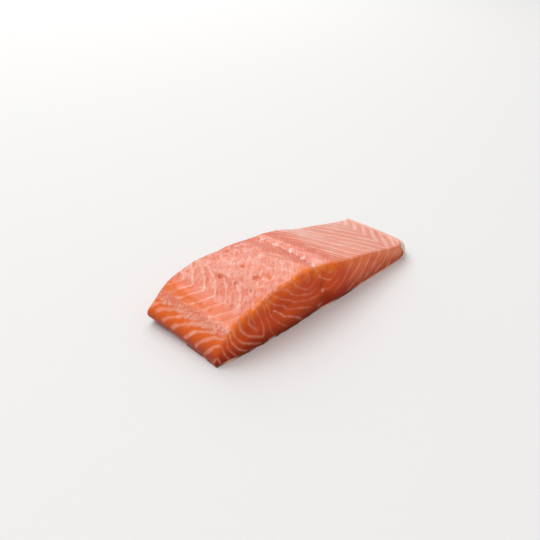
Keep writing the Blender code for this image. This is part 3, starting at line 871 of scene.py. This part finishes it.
# Where a bit of skin stands out from under the near cut: its place, half width and reach.
TABS = [
    (9.0 * MM, 2.2 * MM, 1.3 * MM), (86.0 * MM, 1.8 * MM, 1.5 * MM), (92.0 * MM, 2.6 * MM, 1.0 * MM),
]


def scale_height(along, across):
    """Overlapping scales in staggered rows: 1 at each scale's free edge, 0 where it tucks under."""
    row = across / SCALE_LENGTH
    shifted = along / SCALE_WIDTH + 0.5 * (np.floor(row) % 2)
    sideways = 2 * np.abs(shifted - np.floor(shifted) - 0.5)
    position = row + 0.35 * sideways**2
    return position - np.floor(position)


a, b, skin_quads = grid(SKIN_STEPS_FLAT + SKIN_STEPS_CLIMB, SKIN_STEPS_ACROSS)
flat_share = SKIN_STEPS_FLAT / (SKIN_STEPS_FLAT + SKIN_STEPS_CLIMB)


def skin_line(path, across):
    """The inner face of the skin: along the flesh's underside, then up its belly end."""
    along = np.clip(path / flat_share, 0, 1)
    up = SKIN_CLIMB * np.clip((path - flat_share) / (1 - flat_share), 0, 1)
    return place(along, across, up)


inner = skin_line(a, b)
ragged = 0.25 * MM * ripple(inner, 5 * MM, 3) + 0.12 * MM * ripple(inner, 1.7 * MM, 7)
near_rim, far_rim = smooth(b, 0.06, 0), smooth(b, 0.94, 1)
spread = SKIN_PROUD * WIDTH * (2 * b - 1) + ragged * (far_rim - near_rim)
for tab_x, tab_width, tab_reach in TABS:
    spread = spread - near_rim * tab_reach * bump(inner[:, 0] - tab_x, tab_width)
step = 0.002
run = skin_line(np.minimum(a + step, 1), b) - skin_line(np.maximum(a - step, 0), b)
outward = np.stack([run[:, 2], np.zeros(len(run)), -run[:, 0]], axis=-1)
outward /= np.linalg.norm(outward, axis=1, keepdims=True)
climbing = np.clip((a - flat_share) / (1 - flat_share), 0, 1)
thickness = SKIN + (SKIN_RIM - SKIN) * np.sin(np.pi * climbing)
run_length = a * SKIN_RUN
scales = scale_height(run_length, inner[:, 1])
inner[:, 1] += spread
scale_inset = SCALE_RISE * (1 - scales) * edge_fade(np.stack([a, b, 0 * a], axis=-1), "top")
outer = inner + outward * (thickness - scale_inset)[:, None]
outer[:, 2] = np.maximum(outer[:, 2], scale_inset * (climbing <= 0))
inner = inner - outward * SKIN_OVERLAP

count = len(inner)
index = np.arange(count).reshape(-1, SKIN_STEPS_ACROSS + 1)
loop = np.concatenate([index[:, 0], index[-1, 1:], index[-2::-1, -1], index[0, -2:0:-1]])
following = np.roll(loop, -1)
walls = np.stack([loop, loop + count, following + count, following], axis=-1)
skin_faces = np.concatenate([skin_quads, skin_quads[:, ::-1] + count, walls])
skin_mesh = bpy.data.meshes.new("skin")
skin_mesh.from_pydata((np.concatenate([inner, outer]) + PLACE).tolist(), [], skin_faces.tolist())
outside = np.concatenate([np.zeros(skin_quads.size), np.ones(skin_quads.size), np.zeros(walls.size)])
belly_share = smooth(run_length / MM, 20, 100)
pale_edge = smooth(run_length / MM, 122, 140) + smooth(ripple(inner, 9 * MM, 2), 0.25, 0.6) * 0.5
for tab_x, tab_width, _ in TABS:
    pale_edge = pale_edge + bump(inner[:, 0] - tab_x, 2 * tab_width)
for name, values in (
    ("pale_edge", np.tile(np.clip(pale_edge, 0, 1), 2)[skin_faces.ravel()]),
    ("rim", np.tile(smooth(climbing, 0.02, 0.2), 2)[skin_faces.ravel()]),
    ("outside", outside),
    ("scale", np.tile(scales, 2)[skin_faces.ravel()]),
    ("belly", np.tile(belly_share, 2)[skin_faces.ravel()]),
):
    paint(skin_mesh, name, values)
skin_mesh.update()
skin_mesh.shade_smooth()
skin_mesh.set_sharp_from_angle(angle=np.radians(50))

SILVER = (0.62, 0.63, 0.62)
SLATE_BLUE = (0.045, 0.060, 0.070)
CUT_SKIN = (0.84, 0.60, 0.50)
SHADED_SKIN = (0.22, 0.060, 0.025)
RIM_SKIN = (0.78, 0.52, 0.42)


def skin_finish():
    """Silver scales, darker towards the back, with the cut edge of the skin painted dark as shade under the
    flesh and pale in places.
    """
    material, tree, shader = wet_flesh("salmon skin")
    shader.inputs["Subsurface Scale"].default_value = 1.0 * MM
    mask = painted(tree, ("outside", "scale", "belly", "rim", "pale_edge"))
    grain = add(tree, "ShaderNodeGroup", node_tree=wet_grain_group)
    edge = ramped(tree, mask["scale"], 0.0, 0.22, 0.55, 0.0)
    colour = tinted(tree, mask["belly"], SLATE_BLUE, SILVER)
    colour = tinted(tree, edge, colour, SLATE_BLUE)
    colour = tinted(tree, calc(tree, "MULTIPLY", grain.outputs["Blotch"], 0.25), colour, SLATE_BLUE)
    colour = tinted(tree, calc(tree, "MULTIPLY", mask["rim"], 0.75), colour, RIM_SKIN)
    # The cut edge is painted shade, dark under the flesh, except where it is pale.
    cut = tinted(tree, mask["pale_edge"], SHADED_SKIN, CUT_SKIN)
    tree.links.new(tinted(tree, mask["outside"], cut, colour), shader.inputs["Base Color"])
    shine = calc(tree, "MULTIPLY", mask["outside"], ramped(tree, mask["rim"], 0.0, 1.0, 0.55, 0.0))
    tree.links.new(shine, shader.inputs["Metallic"])
    tree.links.new(ramped(tree, mask["outside"], 0, 1, 0.45, 0.28), shader.inputs["Roughness"])
    emboss(tree, shader, grain.outputs["Height"], 0.2, 0.3 * MM)
    return material


skin_mesh.materials.append(skin_finish())
skin = shown("skin", skin_mesh)
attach(skin, "root")
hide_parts("salmon_skin")

# The seam at the back: where the two sides of the fish meet, a band of soft torn tissue is left,
# made of small pinkish grains sunk in the flesh.
SEAM_GRAIN = (0.9 * MM, 2.6 * MM)
SEAM_GRAINS_PER_AREA = 1.8e6
SEAM_ENDS = (3.5 * MM, 60.5 * MM)
SEAM_HALF_WIDTH = 1.8 * MM
SEAM_SUNK = 0.62 * MM
SEAM_TISSUE = (0.92, 0.430, 0.330)
SEAM_DARK = (0.80, 0.220, 0.110)
flesh_tree = BVHTree.FromPolygons(
    [vertex.co for vertex in flesh_mesh.vertices], [face.vertices for face in flesh_mesh.polygons]
)


def on_top(x, y, sunk=0.0):
    """Points of the flesh's top at these places, or a little under it."""
    above = (np.stack([x, y, np.full_like(x, 2 * HEIGHT)], axis=-1) + PLACE).tolist()
    return [flesh_tree.ray_cast(Vector(at), Vector((0, 0, -1)))[0] - Vector((0, 0, sunk)) for at in above]


def seam_patch():
    """A thin patch on the top that follows the seam, ragged along both sides."""
    y_line, x_line = np.transpose(SEAM_PATH) * MM
    a, b, quads = grid(90, 4)
    y = SEAM_ENDS[0] + a * (SEAM_ENDS[1] - SEAM_ENDS[0])
    ragged = 0.7 + 0.6 * ripple(np.stack([y, 0 * y, 9 * MM * b], axis=-1), 4 * MM, 27)
    x = np.interp(y, y_line, x_line) + (2 * b - 1) * SEAM_HALF_WIDTH * ragged
    mesh = bpy.data.meshes.new("patch")
    mesh.from_pydata(on_top(x, y, SEAM_SUNK), [], quads[:, ::-1].tolist())
    return mesh


def node_tree(name, inputs):
    """An empty geometry tree with these named inputs: the tree, its input and output nodes."""
    tree = bpy.data.node_groups.new(name, "GeometryNodeTree")
    tree.interface.new_socket("Geometry", in_out="INPUT", socket_type="NodeSocketGeometry")
    for label, kind in inputs.items():
        tree.interface.new_socket(label, in_out="INPUT", socket_type="NodeSocket" + kind)
    tree.interface.new_socket("Geometry", in_out="OUTPUT", socket_type="NodeSocketGeometry")
    return tree, tree.nodes.new("NodeGroupInput").outputs, tree.nodes.new("NodeGroupOutput").inputs


def scattered(tree, given, shape, stretch):
    """Copies of a shape on a patch, each turned and sized at random, as real geometry."""
    spots = add(tree, "GeometryNodeDistributePointsOnFaces", {
        "Mesh": given["Geometry"], "Density": given["Per Area"], "Seed": given["Seed"],
    })
    turn = add(tree, "FunctionNodeRandomValue", {"Seed": 3}, data_type="FLOAT_VECTOR")
    turn.inputs[0].default_value = (-0.2, -0.2, -3.14)
    turn.inputs[1].default_value = (0.2, 0.2, 3.14)
    turned = add(tree, "FunctionNodeRotateRotation", {
        "Rotation": spots.outputs["Rotation"], "Rotate By": turn.outputs[0],
    }, rotation_space="LOCAL")
    size = add(tree, "FunctionNodeRandomValue", {"Seed": 5}, data_type="FLOAT")
    tree.links.new(given["Least Size"], size.inputs[2])
    tree.links.new(given["Most Size"], size.inputs[3])
    along = add(tree, "ShaderNodeCombineXYZ", dict(zip("XYZ", stretch)))
    scaled = add(tree, "ShaderNodeVectorMath", {0: along.outputs[0], "Scale": size.outputs[1]},
                 operation="SCALE")
    placed = add(tree, "GeometryNodeInstanceOnPoints", {
        "Points": spots.outputs["Points"], "Instance": shape,
        "Rotation": turned.outputs[0], "Scale": scaled.outputs[0],
    })
    return add(tree, "GeometryNodeRealizeInstances", {"Geometry": placed.outputs[0]}).outputs[0]


SCATTER_INPUTS = {
    "Per Area": "Float", "Least Size": "Float", "Most Size": "Float", "Seed": "Int",
    "Material": "Material",
}


def finished(tree, given, result, shapes, waves, centre, reach):
    """Ends a tree: the shapes bent by a soft noise, smooth, and with their material."""
    noise_at = add(tree, "ShaderNodeTexNoise", {"Scale": waves}, noise_dimensions="3D").outputs["Color"]
    off = add(tree, "ShaderNodeVectorMath", {0: noise_at, 1: centre}, operation="SUBTRACT").outputs[0]
    moved = add(tree, "ShaderNodeVectorMath", {0: off, "Scale": reach}, operation="SCALE").outputs[0]
    bent = add(tree, "GeometryNodeSetPosition", {"Geometry": shapes, "Offset": moved}).outputs[0]
    soft = add(tree, "GeometryNodeSetShadeSmooth", {"Geometry": bent}).outputs[0]
    made = add(tree, "GeometryNodeSetMaterial", {"Geometry": soft, "Material": given["Material"]})
    tree.links.new(made.outputs[0], result[0])
    return tree


def grains_tree():
    """Flat rounded grains scattered over a patch."""
    tree, given, result = node_tree("Grains", SCATTER_INPUTS)
    ball = add(tree, "GeometryNodeMeshIcoSphere", {"Radius": 0.5, "Subdivisions": 2}).outputs[0]
    grains = scattered(tree, given, ball, (1.0, 0.7, 0.45))
    return finished(tree, given, result, grains, 700.0, (0.5, 0.5, 0.5), 0.8 * MM)


def grown(name, patch, tree, values):
    """Adds what a geometry tree makes on a patch, as a plain mesh that rides with the flesh."""
    base = shown(name + " patch", patch)
    modifier = base.modifiers.new("grow", "NODES")
    modifier.node_group = tree
    for socket in tree.interface.items_tree:
        if socket.item_type == "SOCKET" and socket.name in values:
            modifier[socket.identifier] = values[socket.name]
    graph = bpy.context.evaluated_depsgraph_get()
    mesh = bpy.data.meshes.new_from_object(base.evaluated_get(graph))
    bpy.data.objects.remove(base, do_unlink=True)
    mesh.materials.clear()
    mesh.materials.append(values["Material"])
    made = shown(name, mesh)
    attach(made, "root")


def tissue_finish(name, pale, dark, share):
    """Torn tissue: a pale colour with darker blotches."""
    material, tree, shader = wet_flesh(name)
    shader.inputs["Subsurface Weight"].default_value = 0.1
    shader.inputs["Subsurface Scale"].default_value = 0.2 * MM
    grain = add(tree, "ShaderNodeGroup", {"Blotch Size": 1.6 * MM}, node_tree=wet_grain_group)
    blotch = calc(tree, "MULTIPLY", grain.outputs["Blotch"], share)
    tree.links.new(tinted(tree, blotch, pale, dark), shader.inputs["Base Color"])
    shader.inputs["Roughness"].default_value = 0.42
    emboss(tree, shader, grain.outputs["Height"], 0.3, 0.3 * MM)
    return material


grown("seam_tissue", seam_patch(), grains_tree(), {
    "Per Area": SEAM_GRAINS_PER_AREA, "Least Size": SEAM_GRAIN[0], "Most Size": SEAM_GRAIN[1],
    "Seed": 11, "Material": tissue_finish("seam tissue", SEAM_TISSUE, SEAM_DARK, 0.8),
})

# The row of pin bones: the bones were pulled out, and each one left a small tuft of white fibres
# that lies over its hole.
TUFT_FIBRE = (1.6 * MM, 3.8 * MM)
TUFT_FIBRES_PER_AREA = 0.6e6
FIBRE_WHITE, FIBRE_PINK = (1.0, 0.76, 0.68), (0.98, 0.60, 0.50)


def fibres_tree():
    """Short tapered fibres that lie nearly flat over a patch."""
    tree, given, result = node_tree("Fibres", SCATTER_INPUTS)
    cone = add(tree, "GeometryNodeMeshCone", {
        "Vertices": 6, "Side Segments": 6, "Radius Top": 0.012, "Radius Bottom": 0.06, "Depth": 1.0,
    }, fill_type="TRIANGLE_FAN").outputs[0]
    laid = add(tree, "GeometryNodeTransform", {"Geometry": cone, "Rotation": (0.0, 1.45, 0.0)})
    fibres = scattered(tree, given, laid.outputs[0], (1.0, 1.0, 1.0))
    return finished(tree, given, result, fibres, 450.0, (0.5, 0.5, 0.48), 1.4 * MM)


def tuft_patch():
    """One small oval for each tuft, long along the slanting flakes, on the flesh's top."""
    shape = bmesh.new()
    turn = np.linspace(0, 2 * np.pi, 12, endpoint=False)
    for middle_x, middle_y, long, short, _ in TUFTS[:TUFTS_WITH_FIBRES]:
        along, over = 0.7 * long * np.cos(turn), 0.7 * short * np.sin(turn)
        x = middle_x + along * np.cos(SLANT) - over * np.sin(SLANT)
        y = middle_y + along * np.sin(SLANT) + over * np.cos(SLANT)
        shape.faces.new([shape.verts.new(point) for point in on_top(x * MM, y * MM)])
    mesh = bpy.data.meshes.new("tuft patch")
    shape.to_mesh(mesh)
    shape.free()
    return mesh


grown("pin_bone_tufts", tuft_patch(), fibres_tree(), {
    "Per Area": TUFT_FIBRES_PER_AREA, "Least Size": TUFT_FIBRE[0], "Most Size": TUFT_FIBRE[1],
    "Seed": 4, "Material": tissue_finish("white fibres", FIBRE_WHITE, FIBRE_PINK, 0.5),
})

# The floor and the light: a plain pale floor, a broad soft window behind the piece, another light
# high over it, and a weak one that fills the shade.
floor_mesh = bpy.data.meshes.new("floor")
shape = bmesh.new()
bmesh.ops.create_grid(shape, x_segments=1, y_segments=1, size=3.0)
shape.to_mesh(floor_mesh)
shape.free()
floor_material = bpy.data.materials.new("pale floor")
floor_material.use_nodes = True
floor_shader = floor_material.node_tree.nodes["Principled BSDF"]
floor_shader.inputs["Base Color"].default_value = (0.8, 0.8, 0.8, 1)
floor_shader.inputs["Roughness"].default_value = 0.9
floor_mesh.materials.append(floor_material)
floor = shown("floor", floor_mesh)

world = bpy.data.worlds.new("studio")
world.use_nodes = True
sky = world.node_tree.nodes["Background"]
sky.inputs["Color"].default_value = (1.0, 0.98, 0.96, 1)
sky.inputs["Strength"].default_value = 0.5
bpy.context.scene.world = world
bpy.context.scene.view_settings.view_transform = "Standard"


def soft_light(name, azimuth, elevation, distance, size, watts):
    """A square light that faces the object, from a compass angle and a height in degrees."""
    lamp = bpy.data.lights.new(name, "AREA")
    lamp.size, lamp.energy = size, watts
    a, e = np.radians(azimuth), np.radians(elevation)
    at = Vector((np.cos(a) * np.cos(e), np.sin(a) * np.cos(e), np.sin(e))) * distance
    facing = at.to_track_quat("Z", "Y").to_matrix().to_4x4()
    shown(name, lamp).matrix_world = Matrix.Translation(at) @ facing


soft_light("window", azimuth=50, elevation=38, distance=3.0, size=2.25, watts=28.1)
soft_light("overhead", azimuth=110, elevation=62, distance=3.0, size=2.25, watts=40.0)
soft_light("fill", azimuth=200, elevation=50, distance=3.0, size=1.85, watts=12.8)

# The camera: at the photograph's viewing angle and distance, from above the near left of the piece.
FOCAL_PIXELS, PICTURE_PIXELS = 615.9, 540
CAMERA_RIGHT = (0.69491902, -0.71879056, 0.02068037)
CAMERA_UP = (0.3414143, 0.35511364, 0.87024743)
CAMERA_AT = (-0.16864, -0.19389, 0.20574)
camera_data = bpy.data.cameras.new("camera")
camera_data.lens = camera_data.sensor_width * FOCAL_PIXELS / PICTURE_PIXELS
camera_data.clip_start = 0.01
camera = shown("camera", camera_data)
right, upward = Vector(CAMERA_RIGHT), Vector(CAMERA_UP)
turned = Matrix((right, upward, right.cross(upward))).transposed().to_4x4()
camera.matrix_world = Matrix.Translation(Vector(CAMERA_AT) + Vector(PLACE)) @ turned
bpy.context.scene.camera = camera
